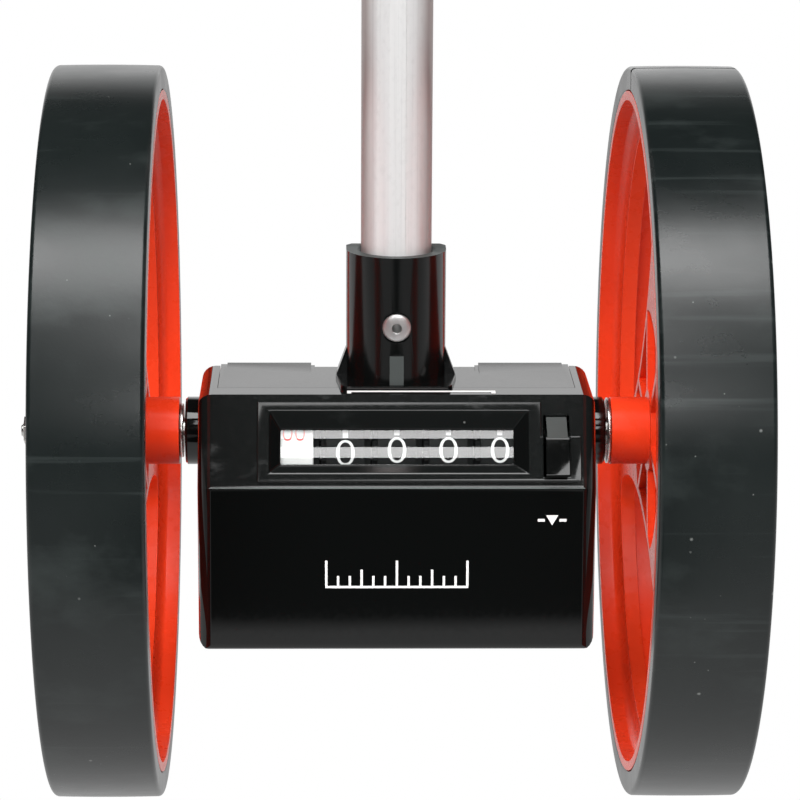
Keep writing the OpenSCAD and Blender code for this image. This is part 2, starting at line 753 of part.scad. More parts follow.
// Bar with one finger for each drum.
module reset_bar() {
    finger_w = 1.2;
    finger_len = 2.1;
    finger_gap = 0.2;
    color("silver") {
        bar_x(reset_r, -plate_x - 0.6, lever_x + lever_w, reset_y, reset_z);
        toward = atan2(drum_z - reset_z, drum_y - reset_y);
        for (x = drum_xs) translate([x + drum_w / 2 + finger_gap, reset_y, reset_z]) across()
            rotate(toward) translate([0, -0.6, 0]) cube([finger_len, 1.2, finger_w]);
    }
}

// Torsion spring round the reset bar, between the frame and the lever.
module reset_spring() {
    turns = 3;
    wire_r = 0.22;
    color("silver") translate([plate_x + 0.3, reset_y, reset_z]) across() union() {
        linear_extrude(height = 2.1, twist = -360 * turns, slices = 20 * turns)
            translate([1.75, 0]) circle(r = wire_r, $fn = 8);
        translate([1.75, 0, 0.2]) rotate([90, 0, 0]) cylinder(r = wire_r, h = 5, $fn = 16);
        translate([1.75, 0, 1.9]) rotate([90, 0, 0]) cylinder(r = wire_r, h = 4, $fn = 16);
    }
}

// ---------- handle ----------

// The hole for the rivet through the socket and the tube.
module rivet_hole() {
    translate([0, -handle_y - 20, rivet_z]) rotate([-90, 0, 0]) cylinder(r = rivet_r, h = 40, $fn = small);
}

// A tube on the handle's axis.
module tube(r_out, r_in, z0, z1) {
    translate([0, -handle_y, z0]) difference() {
        cylinder(r = r_out, h = z1 - z0, $fn = fine);
        translate([0, 0, -1]) cylinder(r = r_in, h = z1 - z0 + 2, $fn = fine);
    }
}

module lower_tube() {
    color("gainsboro") difference() {
        tube(lower_r, lower_r - tube_t, tube_bottom, lower_top);
        rivet_hole();
    }
}

// Hollow rivet through the socket and the tube, with a flange at each end.
module socket_rivet() {
    front = handle_y + socket_r - 0.4;
    back = -handle_y + lower_r;
    color("silver") translate([0, 0, rivet_z]) rotate([-90, 0, 0]) difference() {
        union() {
            translate([0, 0, -front]) cylinder(r = rivet_r, h = front + back, $fn = small);
            translate([0, 0, -front - 0.9]) rotate_extrude($fn = small) polygon([
                [0, 0], [rivet_head_r - 0.8, 0], [rivet_head_r - 0.2, 0.35], [rivet_head_r, 0.9], [0, 0.9]]);
            translate([0, 0, back]) cylinder(r = 2.6, h = 0.6, $fn = small);
        }
        translate([0, 0, -40]) cylinder(r = 1.05, h = 80, $fn = small);
    }
}

// Split plastic ferrule that the lock ring squeezes on the inner tube.
module ferrule(r_tube, z) {
    color([0.2, 0.2, 0.2]) difference() {
        tube(r_tube + 0.75, r_tube + fit, z, z + 11);
        for (a = [0:60:300]) translate([0, -handle_y, z + 2]) rotate(a + 20)
            translate([r_tube - 1, -0.3, 0]) cube([4, 0.6, 12]);
    }
}

// Twist ring with grip ribs. r_outer is the tube it sits on, r_inner the tube that slides through.
module lock_ring(r_outer, r_inner, z) {
    body_r = r_outer + 2.2;
    color([0.1, 0.1, 0.1]) difference() {
        union() {
            translate([0, -handle_y, z]) rotate_extrude($fn = fine) polygon([
                [r_inner + 0.3, 0], [body_r - 0.5, 0], [body_r, 1], [body_r, lock_h - 5],
                [r_inner + 2.2, lock_h], [r_inner + 0.3, lock_h]]);
            for (i = [0:17]) translate([0, -handle_y, z + 2]) rotate(i * 20)
                translate([body_r - 0.1, 0, 0]) cylinder(r = 0.7, h = lock_h - 8, $fn = 16);
        }
        translate([0, -handle_y, z - 1]) cylinder(r = r_outer + fit, h = 13 + gap, $fn = fine);
        translate([0, -handle_y, z + 12]) cylinder(r = r_inner + 0.75 + gap, h = 11.2, $fn = fine);
    }
}

module lower_ferrule() {
    ferrule(middle_r, lower_top + 0.02);
}

module lower_lock_ring() {
    lock_ring(lower_r, middle_r, lower_top - 12);
}

module upper_ferrule() {
    ferrule(upper_r, middle_top + 0.02);
}

module upper_lock_ring() {
    lock_ring(middle_r, upper_r, middle_top - 12);
}

module middle_tube() {
    color("gainsboro") tube(middle_r, middle_r - tube_t, middle_bottom, middle_top);
}

module upper_tube() {
    color("gainsboro") tube(upper_r, upper_r - tube_t, upper_bottom, grip_z + grip_len - 4);
}

// Plastic guide sleeve on the bottom of a sliding tube.
module guide(r_bore, r_tube, z) {
    color([0.85, 0.85, 0.82]) tube(r_bore - fit, r_tube, z, z + 12);
}

module middle_guide() {
    guide(lower_r - tube_t, middle_r, middle_bottom);
}

module upper_guide() {
    guide(middle_r - tube_t, upper_r, upper_bottom);
}

// Moulded grip with finger rings.
module grip() {
    ring_count = 9;
    r = 13;
    bottom = [[upper_r, 0], [r - 3, 0], [r - 1, 1.2], [r + 0.6, 3.5], [r + 0.6, 6]];
    rings = [for (i = [0:ring_count * 8]) let (t = i / (ring_count * 8))
        [r - 1.5 * sin(180 * t) + 0.35 * cos(360 * ring_count * t), 8 + t * (grip_len - 20)]];
    top = [[r + 0.4, grip_len - 8], [r + 0.4, grip_len - 2], [r - 0.8, grip_len], [upper_r, grip_len]];
    color([0.12, 0.12, 0.12]) translate([0, -handle_y, grip_z]) rotate_extrude($fn = fine)
        polygon(concat(bottom, rings, top));
}

// End cap with the hanging hole.
module grip_cap() {
    r = 12.2;
    flat = 8;
    color("orangered") translate([0, -handle_y, grip_z + grip_len]) difference() {
        union() {
            rotate_extrude($fn = fine)
                polygon(concat([[0, 0], [r, 0], [r, 2]], arc([r - 3, 2], 3, 15, 90, 5), [[0, 5]]));
            translate([-flat / 2, 0, 0]) across() linear_extrude(flat)
                polygon(concat([[-8, 1], [8, 1]], arc([0, hang_h], 7, 0, 180, 24)));
            translate([0, 0, -8]) cylinder(r = upper_r - tube_t, h = 9, $fn = small);
        }
        translate([-20, 0, hang_h]) rotate([0, 90, 0]) cylinder(r = 3, h = 40, $fn = small);
    }
}

// Lifts a part from the axle's frame to the ground's.
module on_ground() {
    translate([0, 0, wheel_r]) children();
}

on_ground() front_housing();
on_ground() rear_cover();
on_ground() top_cover();
on_ground() housing_screws();
on_ground() window_bezel();
on_ground() window_lens();
on_ground() left_bush();
on_ground() right_bush();
on_ground() counter_frame();
on_ground() frame_screws();
on_ground() drum_shaft();
on_ground() pinion_shaft();
on_ground() transfer_pinion(0);  // transfer_pinion_1
on_ground() transfer_pinion(1);  // transfer_pinion_2
on_ground() transfer_pinion(2);  // transfer_pinion_3
on_ground() transfer_pinion(3);  // transfer_pinion_4
on_ground() drum(0);  // drum_1
on_ground() drum(1);  // drum_2
on_ground() drum(2);  // drum_3
on_ground() drum(3);  // drum_4
on_ground() drum(4);  // drum_5
on_ground() input_gear();
on_ground() reset_lever();
on_ground() reset_bar();
on_ground() reset_spring();
on_ground() axle();
on_ground() drive_gear();
on_ground() axle_keys();
on_ground() axle_nuts();
on_ground() hub_washers();
on_ground() spacer_washers();
on_ground() left_rim();
on_ground() left_tyre();
on_ground() right_rim();
on_ground() right_tyre();
on_ground() lower_tube();
on_ground() socket_rivet();
on_ground() lower_ferrule();
on_ground() lower_lock_ring();
on_ground() middle_tube();
on_ground() middle_guide();
on_ground() upper_ferrule();
on_ground() upper_lock_ring();
on_ground() upper_tube();
on_ground() upper_guide();
on_ground() grip();
on_ground() grip_cap();
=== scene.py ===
"""Looks of a two-wheel measuring wheel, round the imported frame.

Adds the finishes, the tyres, the counter's figures and the printed marks, then the studio. Lengths are in
metres.
"""
import math

import bmesh
import bpy
from mathutils import Matrix, Vector


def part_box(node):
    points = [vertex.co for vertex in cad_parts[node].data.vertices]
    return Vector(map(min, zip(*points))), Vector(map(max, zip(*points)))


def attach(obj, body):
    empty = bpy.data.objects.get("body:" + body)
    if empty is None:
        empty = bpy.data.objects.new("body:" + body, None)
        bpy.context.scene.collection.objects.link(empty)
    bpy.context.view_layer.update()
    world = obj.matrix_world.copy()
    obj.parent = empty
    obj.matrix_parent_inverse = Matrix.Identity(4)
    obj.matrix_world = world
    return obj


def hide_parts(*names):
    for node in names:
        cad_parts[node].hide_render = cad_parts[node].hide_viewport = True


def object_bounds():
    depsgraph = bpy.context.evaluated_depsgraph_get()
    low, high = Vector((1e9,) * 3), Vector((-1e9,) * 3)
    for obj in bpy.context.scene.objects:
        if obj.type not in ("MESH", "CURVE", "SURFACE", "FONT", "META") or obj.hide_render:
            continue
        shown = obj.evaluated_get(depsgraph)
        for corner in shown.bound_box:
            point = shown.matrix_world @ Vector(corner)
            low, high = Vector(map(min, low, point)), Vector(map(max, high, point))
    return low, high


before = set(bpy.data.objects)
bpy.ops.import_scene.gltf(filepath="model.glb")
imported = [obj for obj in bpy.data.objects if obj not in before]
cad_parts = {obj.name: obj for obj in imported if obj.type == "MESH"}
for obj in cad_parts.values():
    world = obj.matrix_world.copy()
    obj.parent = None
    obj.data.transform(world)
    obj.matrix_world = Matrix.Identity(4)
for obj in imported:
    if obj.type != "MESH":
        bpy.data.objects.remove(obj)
cad_low, cad_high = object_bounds()

MM = 0.001
AXLE = sum(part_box("axle"), Vector()) / 2
BACK_TURNED = math.pi           # figures and marks are read from behind the counter
WHEELS = {"left": "drive_wheel", "right": "free_wheel"}
DRUM_BODIES = ["first_drum", "second_drum", "third_drum", "fourth_drum", "fifth_drum"]


# ---------- node trees ----------

# A Mix node's sockets go by number, because its colour and its plain value share their names.
MIX_SHARE, MIX_VALUES, MIX_COLOURS, MIXED_COLOUR = 0, (2, 3), (6, 7), 2


def fill_inputs(tree, node, inputs):
    """Sets a node's inputs: a socket is linked, and anything else is a value."""
    for key, value in inputs.items():
        if isinstance(value, bpy.types.NodeSocket):
            tree.links.new(value, node.inputs[key])
        else:
            node.inputs[key].default_value = value


def add_node(tree, kind, inputs=None, **settings):
    node = tree.nodes.new(kind)
    for key, value in settings.items():
        setattr(node, key, value)
    fill_inputs(tree, node, inputs or {})
    return node


class Finish:
    """A material's node tree, with one short call for each kind of node it uses."""

    def __init__(self, name):
        self.material = bpy.data.materials.new(name)
        self.material.use_nodes = True
        self.tree = self.material.node_tree
        self.shader = self.tree.nodes["Principled BSDF"]

    def add(self, kind, inputs=None, **settings):
        return add_node(self.tree, kind, inputs, **settings)

    def surface(self, **inputs):
        """Sets the main shader's inputs. A space in an input's name is written as _."""
        fill_inputs(self.tree, self.shader, {key.replace("_", " "): value for key, value in inputs.items()})

    def show(self, shader):
        """Makes a node's first output the surface, in place of the main shader."""
        self.tree.links.new(shader.outputs[0], self.tree.nodes["Material Output"].inputs["Surface"])

    def place(self, stretch=(1, 1, 1), kind="Object"):
        """Texture coordinates in metres, stretched."""
        coords = self.add("ShaderNodeTexCoord")
        mapping = self.add("ShaderNodeMapping", {"Vector": coords.outputs[kind], "Scale": stretch})
        return mapping.outputs["Vector"]

    def noise(self, scale, detail=4, stretch=(1, 1, 1), rough=0.55):
        node = self.add("ShaderNodeTexNoise", {
            "Vector": self.place(stretch), "Scale": scale, "Detail": detail, "Roughness": rough})
        return node.outputs["Fac"]

    def span(self, value, low, high, to_low, to_high):
        """Maps value from low..high to to_low..to_high, held at the ends."""
        node = self.add("ShaderNodeMapRange", {
            "Value": value, "From Min": low, "From Max": high, "To Min": to_low, "To Max": to_high})
        return node.outputs["Result"]

    def blend(self, share, first, second):
        """The first colour, turning into the second as share goes from 0 to 1."""
        node = self.add("ShaderNodeMix", {
            MIX_SHARE: share, MIX_COLOURS[0]: first, MIX_COLOURS[1]: second}, data_type="RGBA")
        return node.outputs[MIXED_COLOUR]

    def maths(self, operation, first, second=0.0):
        node = self.add("ShaderNodeMath", {0: first, 1: second}, operation=operation)
        return node.outputs[0]

    def bump(self, height, strength, depth, after=None):
        inputs = {"Height": height, "Strength": strength, "Distance": depth}
        if after is not None:
            inputs["Normal"] = after
        return self.add("ShaderNodeBump", inputs).outputs["Normal"]

    def specks(self, scale, share):
        """Small separate dots, in a share of the cells: 1 inside a dot, falling to 0 round it."""
        full, none = 0.05, 0.14      # distance from a cell's point, in cell widths
        cells = self.add("ShaderNodeTexVoronoi", {"Vector": self.place(), "Scale": scale})
        near = self.span(cells.outputs["Distance"], full, none, 1, 0)
        pick = self.add("ShaderNodeSeparateColor", {"Color": cells.outputs["Color"]}).outputs["Red"]
        rare = self.span(pick, 1 - share, 1 - share + 0.001, 0, 1)
        return self.maths("MULTIPLY", near, rare)


def colour(red, green, blue):
    return (red, green, blue, 1)


# ---------- materials ----------

def black_plastic(name, base, rough, scuffs=0.0, dust=0.006, pits=0.0):
    """Moulded black plastic. Scuffs are faint rubbed patches, dust is light specks and pits are dull dots."""
    f = Finish(name)
    patches = f.noise(70, 7, (0.5, 1, 1), 0.68)
    rubbed = f.maths("MULTIPLY", f.span(patches, 0.56, 0.76, 0, 1), scuffs)
    shade = f.blend(rubbed, colour(base, 1.15 * base, 1.12 * base), colour(0.050, 0.056, 0.056))
    shade = f.blend(f.maths("MULTIPLY", f.specks(420, dust), 0.6), shade, colour(0.24, 0.25, 0.24))
    roughness = f.maths("ADD", f.span(f.noise(900, 3), 0.3, 0.7, rough, rough + 0.04), rubbed)
    shine = f.span(f.specks(300, pits), 0, 1, 0.5, 0.06)
    f.surface(Base_Color=shade, Roughness=roughness, Specular_IOR_Level=shine, IOR=1.5,
              Normal=f.bump(f.noise(45, 2), 0.04, 0.0004))
    return f.material


def red_plastic(name):
    """Moulded orange-red plastic with faint flow marks."""
    f = Finish(name)
    flow = f.noise(50, 5, (1, 0.6, 0.6))
    shade = f.blend(f.span(flow, 0.3, 0.7, 0, 1), colour(0.76, 0.044, 0.011), colour(0.88, 0.058, 0.016))
    f.surface(Base_Color=shade, Roughness=f.span(f.noise(300, 4), 0.3, 0.7, 0.24, 0.34), IOR=1.5,
              Specular_IOR_Level=0.22, Normal=f.bump(f.noise(120, 3), 0.06, 0.0004))
    return f.material


def tyre_rubber(name):
    """Smooth dark rubber with clouds of bloom, rubbed streaks, scratches along X and light dust."""
    f = Finish(name)
    bloom = f.noise(16, 6, (1.6, 1, 1), 0.6)
    smudge = f.noise(60, 6, (0.6, 1, 1), 0.62)
    streak = f.noise(420, 3, (0.03, 1, 1))
    shade = colour(0.0040, 0.0062, 0.0062)
    shade = f.blend(f.span(bloom, 0.35, 0.7, 0, 1), shade, colour(0.0085, 0.0115, 0.0112))
    shade = f.blend(f.span(smudge, 0.52, 0.74, 0, 0.8), shade, colour(0.022, 0.028, 0.027))
    shade = f.blend(f.span(streak, 0.60, 0.74, 0, 0.45), shade, colour(0.034, 0.042, 0.041))
    shade = f.blend(f.maths("MULTIPLY", f.specks(300, 0.05), 0.7), shade, colour(0.22, 0.23, 0.22))
    shade = f.blend(f.maths("MULTIPLY", f.specks(700, 0.03), 0.6), shade, colour(0.20, 0.21, 0.20))
    normal = f.bump(f.noise(1500, 3), 0.14, 0.00008)
    normal = f.bump(f.noise(30, 3), 0.10, 0.0006, normal)
    f.surface(Base_Color=shade, Roughness=f.span(smudge, 0.3, 0.7, 0.25, 0.34), Normal=normal, IOR=1.5)
    return f.material


def grip_rubber(name):
    """Matt foam-like rubber with a fine grain."""
    f = Finish(name)
    grain = f.noise(1200, 3)
    shade = f.blend(f.noise(40, 4), colour(0.018, 0.018, 0.019), colour(0.034, 0.034, 0.035))
    f.surface(Base_Color=shade, Roughness=0.62, Normal=f.bump(grain, 0.4, 0.0002))
    return f.material


def drawn_aluminium(name):
    """Satin anodised tube: fine lines run along Z, with a few darker ones. Painted shade darkens it towards
    its sides as seen, tinted pink as a painted reflection of the red wheels.
    """
    f = Finish(name)
    along = (1, 1, 0.004)
    fine = f.noise(2600, 3, along)
    broad = f.noise(420, 3, along)
    mottle = f.noise(1100, 5, (1, 1, 0.5))
    shade = f.blend(f.span(broad, 0.35, 0.68, 0, 1), colour(0.88, 0.87, 0.87), colour(0.96, 0.96, 0.95))
    shade = f.blend(f.span(fine, 0.60, 0.74, 0, 0.35), shade, colour(0.60, 0.59, 0.59))
    shade = f.blend(f.span(mottle, 0.5, 0.8, 0, 0.25), shade, colour(0.66, 0.65, 0.65))
    # painted shade and painted reflection: the sides as seen are darkened and tinted pink, for shade and for
    # the red wheels mirrored in the tube
    turned = f.add("ShaderNodeLayerWeight", {"Blend": 0.5}).outputs["Facing"]
    shade = f.blend(f.span(turned, 0.15, 0.52, 0, 1), shade, colour(0.44, 0.37, 0.36))
    f.surface(Base_Color=shade, Metallic=0.55, Roughness=f.span(mottle, 0.3, 0.7, 0.36, 0.46),
              Normal=f.bump(f.maths("ADD", fine, mottle), 0.15, 0.00004))
    return f.material


def metal(name, base, rough, grain_scale=700, stretch=(1, 1, 1)):
    """Machined or plated metal with fine marks and a little tarnish."""
    f = Finish(name)
    marks = f.noise(grain_scale, 4, stretch)
    tarnish = f.noise(180, 4)
    darker = colour(*[0.72 * c for c in base])
    f.surface(Base_Color=f.blend(f.span(tarnish, 0.4, 0.75, 0, 1), colour(*base), darker), Metallic=1.0,
              Roughness=f.span(marks, 0.3, 0.7, rough, rough + 0.14), Normal=f.bump(marks, 0.15, 0.00008))
    return f.material


def plain_plastic(name, base, rough=0.4):
    """Moulded plastic of one colour, slightly uneven."""
    f = Finish(name)
    mottle = f.noise(300, 4)
    dark = colour(*[0.94 * c for c in base])
    light = colour(*[min(1, 1.06 * c) for c in base])
    f.surface(Base_Color=f.blend(mottle, dark, light), Roughness=f.span(mottle, 0.3, 0.7, rough, rough + 0.1),
              Normal=f.bump(f.noise(900, 3), 0.08, 0.0001))
    return f.material


def paint(name, base):
    """Printed ink, slightly uneven."""
    f = Finish(name)
    wear = f.noise(1800, 4)
    f.surface(Base_Color=f.blend(f.span(wear, 0.35, 0.7, 1, 0.86), colour(0.35, 0.35, 0.35), colour(*base)),
              Roughness=0.45)
    return f.material


def clear_window(name, sag, lean):
    """Thin clear plastic that shines on its outer side.

    Its shading bows by sag and leans by lean over its height, in metres, to mirror the lamps.
    """
    gain = 2.4                   # how much more it mirrors than plain plastic
    f = Finish(name)
    place = f.add("ShaderNodeSeparateXYZ", {"Vector": f.place(kind="Generated")})
    up = f.span(place.outputs["Z"], 0, 1, -1, 1)
    bow = f.maths("MULTIPLY", f.maths("MULTIPLY", up, up), -sag)
    normal = f.bump(f.maths("ADD", bow, f.maths("MULTIPLY", up, lean)), 1.0, 1.0)
    haze = f.noise(900, 5, (0.4, 1, 1))
    see = f.add("ShaderNodeBsdfTransparent", {"Color": colour(0.96, 0.97, 0.97)})
    shine = f.add("ShaderNodeBsdfGlossy", {
        "Color": colour(1, 1, 1), "Roughness": f.span(haze, 0.4, 0.7, 0.01, 0.04), "Normal": normal})
    edge = f.add("ShaderNodeFresnel", {"IOR": 1.5}).outputs["Fac"]
    outer = f.span(f.add("ShaderNodeNewGeometry").outputs["Backfacing"], 0, 1, gain, 0)
    mixed = f.add("ShaderNodeMixShader", {
        0: f.maths("MULTIPLY", edge, outer), 1: see.outputs[0], 2: shine.outputs[0]})
    f.show(mixed)
    return f.material


HOUSING = black_plastic("housing_black", 0.0025, 0.04)
TOP = black_plastic("top_black", 0.0025, 0.14, dust=0.0, pits=0.03)
SOCKET = black_plastic("socket_black", 0.0025, 0.15)
PANEL = black_plastic("panel_black", 0.006, 0.06, 0.25)
SATIN_BLACK = black_plastic("satin_black", 0.004, 0.18)
WORN_BLACK = black_plastic("worn_black", 0.050, 0.50, 0.6)
# Painted highlight: a lighter, rougher black for the ledge's rounded faces, drawn as the ledge's highlight
# line.
PAINTED_LEDGE_HIGHLIGHT = black_plastic("painted_ledge_highlight", 0.100, 0.30, 0.4)
RED = red_plastic("rim_red")
TYRE = tyre_rubber("tyre_rubber")
GRIP = grip_rubber("grip_rubber")
TUBE = drawn_aluminium("tube_aluminium")
RIVET = metal("rivet_aluminium", (0.95, 0.95, 0.94), 0.42)
STEEL = metal("plated_steel", (0.62, 0.62, 0.60), 0.20, 900)
BRASS = metal("machined_brass", (0.80, 0.58, 0.26), 0.25)
NATURAL = plain_plastic("natural_plastic", (0.78, 0.76, 0.70))
WHITE_DRUM = plain_plastic("white_drum", (0.88, 0.88, 0.86), 0.3)
BLACK_DRUM = plain_plastic("black_drum", (0.010, 0.011, 0.011), 0.7)
WHITE_INK = paint("white_ink", (0.90, 0.90, 0.89))
RED_INK = paint("red_ink", (0.75, 0.02, 0.015))
WINDOW = clear_window("clear_window", 0.333 * MM, 0.183 * MM)

NODE_FINISH = {
    "front_housing": HOUSING, "rear_cover": HOUSING, "top_cover": TOP, "window_bezel": PANEL,
    "reset_lever": HOUSING, "left_bush": HOUSING, "right_bush": HOUSING,
    "lower_ferrule": SATIN_BLACK, "upper_ferrule": SATIN_BLACK, "lower_lock_ring": SATIN_BLACK,
    "upper_lock_ring": SATIN_BLACK, "middle_guide": NATURAL, "upper_guide": NATURAL,
    "left_rim": RED, "right_rim": RED, "grip_cap": RED, "left_tyre": TYRE, "right_tyre": TYRE,
    "grip": GRIP, "lower_tube": TUBE, "middle_tube": TUBE, "upper_tube": TUBE, "socket_rivet": RIVET,
    "drive_gear": BRASS, "input_gear": BRASS, "drum_1": WHITE_DRUM, "window_lens": WINDOW,
    **{f"transfer_pinion_{i}": NATURAL for i in range(1, 5)},
    **{f"drum_{i}": BLACK_DRUM for i in range(2, 6)},
}
EDGE_ROUNDING = {           # width of the rounding in millimetres
    "front_housing": 0.35, "rear_cover": 0.25, "top_cover": 0.3, "window_bezel": 0.3, "reset_lever": 0.15,
    "left_rim": 0.3, "right_rim": 0.3, "left_bush": 0.15, "right_bush": 0.15, "axle": 0.1, "axle_nuts": 0.15,
    "hub_washers": 0.1, "spacer_washers": 0.1, "grip_cap": 0.5, "grip": 0.2, "socket_rivet": 0.15,
    "lower_lock_ring": 0.2, "upper_lock_ring": 0.2, "lower_tube": 0.1, "middle_tube": 0.1, "upper_tube": 0.1,
    "counter_frame": 0.1, **{f"drum_{i}": 0.15 for i in range(1, 6)},
}
ROUNDED_ANGLE = 35          # edges that turn by more than this, in degrees, are rounded
BEZEL_ROUNDED_ANGLE = 12    # the window frame's bevels are shallower


def finish_nodes():
    """Gives every CAD node its material, and rounds the edges that catch the light."""
    for name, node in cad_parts.items():
        material = NODE_FINISH.get(name, STEEL)
        node.data.materials.clear()
        node.data.materials.append(material)
        for polygon in node.data.polygons:
            polygon.material_index = 0
        if name in EDGE_ROUNDING:
            angle = BEZEL_ROUNDED_ANGLE if name == "window_bezel" else ROUNDED_ANGLE
            round_edges(node, EDGE_ROUNDING[name] * MM, angle)


def paint_faces(name, material, chosen):
    """Gives another material to the faces of a node for which chosen(middle, normal) is true."""
    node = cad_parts[name]
    node.data.materials.append(material)
    for polygon in node.data.polygons:
        middle = node.matrix_world @ polygon.center
        normal = node.matrix_world.to_3x3() @ polygon.normal
        if chosen(middle, normal):
            polygon.material_index = len(node.data.materials) - 1


def finish_faces():
    """Faces that differ from the rest of their piece. They are picked by place and by the way they face."""
    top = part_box("front_housing")[1].z
    above_cover = top + 0.6 * MM
    rib_half, rib_top = 1.6 * MM, top + 7 * MM
    near_socket_top = top + 25 * MM
    drum_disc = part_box("drum_1")[1].x - 1.2 * MM

    paint_faces("reset_lever", WORN_BLACK, lambda middle, normal: normal.y < -0.2 and normal.z > 0.85)
    paint_faces("front_housing", PANEL, lambda middle, normal: normal.y < -0.5 and normal.z > 0.25)
    # Painted highlight: the ledge's rounded faces that face slightly up get the lighter black, as a highlight
    # line.
    paint_faces("front_housing", PAINTED_LEDGE_HIGHLIGHT, lambda middle, normal: (
        normal.y < -0.9 and 0.20 < normal.z < 0.30))
    paint_faces("window_bezel", HOUSING, lambda middle, normal: abs(normal.x) > 0.2 and normal.y < -0.5)
    paint_faces("top_cover", SOCKET, lambda middle, normal: middle.z > above_cover or abs(normal.z) < 0.5)
    paint_faces("top_cover", WORN_BLACK, lambda middle, normal: (
        abs(middle.x) < rib_half and middle.z < rib_top and normal.y < -0.5))
    paint_faces("top_cover", WORN_BLACK, lambda middle, normal: (
        middle.z > near_socket_top and normal.z > 0.5))
    paint_faces("drum_1", BLACK_DRUM, lambda middle, normal: middle.x > drum_disc)


def round_edges(piece, width, smallest_angle):
    """Rounds the edges where faces meet at more than an angle in degrees."""
    weld = piece.modifiers.new("weld", "WELD")
    weld.merge_threshold = 0.002 * MM
    bevel = piece.modifiers.new("edges", "BEVEL")
    bevel.width = width
    bevel.segments = 3
    bevel.limit_method = "ANGLE"
    bevel.angle_limit = math.radians(smallest_angle)
    bevel.harden_normals = True
    bevel.use_clamp_overlap = True
    piece.modifiers.new("normals", "WEIGHTED_NORMAL").keep_sharp = False


# ---------- building pieces ----------

def piece(name, mesh, material, body, slot, smooth=True):
    """A new object that rides on a CAD body."""
    obj = bpy.data.objects.new(name, mesh)
    bpy.context.scene.collection.objects.link(obj)
    mesh.materials.clear()
    mesh.materials.append(material)
    for polygon in mesh.polygons:
        polygon.use_smooth = smooth
    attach(obj, body)
    return obj


def mesh_of(bm, name):
    """Turns a finished bmesh into a mesh whose faces look outwards."""
    bmesh.ops.recalc_face_normals(bm, faces=bm.faces)
    mesh = bpy.data.meshes.new(name)
    bm.to_mesh(mesh)
    bm.free()
    return mesh


def ring_mesh(name, rings, angles):
    """A closed band round the axle. rings(angle) gives its outline at that angle as (x, radius) points."""
    bm = bmesh.new()
    rows = []
    for a in angles:
        round_axle = [AXLE + Vector((x, r * math.cos(a), r * math.sin(a))) for x, r in rings(a)]
        rows.append([bm.verts.new(point) for point in round_axle])
    count = len(rows[0])
    for i, row in enumerate(rows):
        following = rows[(i + 1) % len(rows)]
        for j in range(count):
            k = (j + 1) % count
            bm.faces.new((row[j], row[k], following[k], following[j]))
    return mesh_of(bm, name)


def arc(cx, cr, radius, start, end, steps):
    """Points (x, r) on an arc in the plane of a band's outline, angles in degrees."""
    out = []
    for i in range(steps + 1):
        a = math.radians(start + (end - start) * i / steps)
        out.append((cx + radius * math.cos(a), cr + radius * math.sin(a)))
    return out


# ---------- tyres ----------

SEAM_ANGLES = {"left": math.radians(20), "right": math.radians(88)}
SEAM_HALF = 0.16 * MM       # half the seam's width at its bottom; its mouth is twice as wide
SEAM_DEPTH = 0.35 * MM
SHOULDER = 1.0 * MM
CROWN = 0.12 * MM
BEAD = 0.5 * MM             # chamfer where the tyre meets the rim
STEPS_ROUND = 240
STEPS_ACROSS = 8
SHOULDER_STEPS = 7


def tyre_outline(x_in, x_out, r_in, r_out, side, sink):
    """Outline of a solid tyre as (x, radius) points, with a slightly crowned tread.

    In the seam, the tread and the sides lie deeper by sink.
    """
    top = r_out - CROWN - sink
    middle = (x_in + x_out) / 2
    half = (x_out - x_in) / 2 - SHOULDER - sink
    inner, outer = x_in + sink, x_out - sink
    points = [(inner + BEAD, r_in), (inner, r_in + BEAD), (inner, top - SHOULDER)]
    points += arc(inner + SHOULDER, top - SHOULDER, SHOULDER, 170, 100, SHOULDER_STEPS)
    for i in range(STEPS_ACROSS + 1):
        t = -1 + 2 * i / STEPS_ACROSS
        points.append((middle + t * half, top + CROWN * (1 - t * t)))
    points += arc(outer - SHOULDER, top - SHOULDER, SHOULDER, 80, 10, SHOULDER_STEPS)
    points += [(outer, top - SHOULDER), (outer, r_in + BEAD), (outer - BEAD, r_in)]
    return [(side * x, r) for x, r in points]


def build_tyre(which):
    """One tyre with a thin seam across it, in place of the CAD's plain one."""
    low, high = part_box(f"{which}_tyre")
    rim_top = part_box(f"{which}_rim")[1].z
    side = 1 if which == "right" else -1
    x_in, x_out = sorted((abs(low.x), abs(high.x)))
    r_out = high.z - AXLE.z
    r_in = rim_top - AXLE.z
    seam = SEAM_ANGLES[which]
    seam_half = SEAM_HALF / r_out
    angles = [seam + k * seam_half for k in (-2, -1, 1, 2)]
    angles += [seam + 2 * math.pi * i / STEPS_ROUND for i in range(1, STEPS_ROUND)]

    def outline(angle):
        in_seam = abs(angle - seam) < 1.5 * seam_half
        return tyre_outline(x_in, x_out, r_in, r_out, side, SEAM_DEPTH if in_seam else 0.0)

    mesh = ring_mesh(f"{which}_tyre_band", outline, angles)
    tyre = piece(f"{which}_tyre_band", mesh, TYRE, WHEELS[which], "tyre_rubber")
    tyre.modifiers.new("normals", "WEIGHTED_NORMAL")
    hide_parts(f"{which}_tyre")


# ---------- counter figures ----------

# How far each drum's zero stands above the line of sight, in pitches of its figures.
ROLLED = [0.28, -0.17, -0.07, -0.07, -0.07]
THIN_STROKE = -0.015        # the font's strokes are thinned by this much of its size
FIGURE_WIDTH = 3.9 * MM
ONE_WIDTH = 1.1 * MM
FAST_WIDTH = 4.8 * MM       # of a two-digit number on the fast drum
FIGURE_SHARE = 0.92         # height of a figure over the pitch of the figures
FAST_SHARE = 0.30
FIGURE_RISE = 0.03 * MM
FIGURE_ROWS = 6
DRUM_FLANGE = 1.1 * MM      # a drum's carry flange, beside its figures


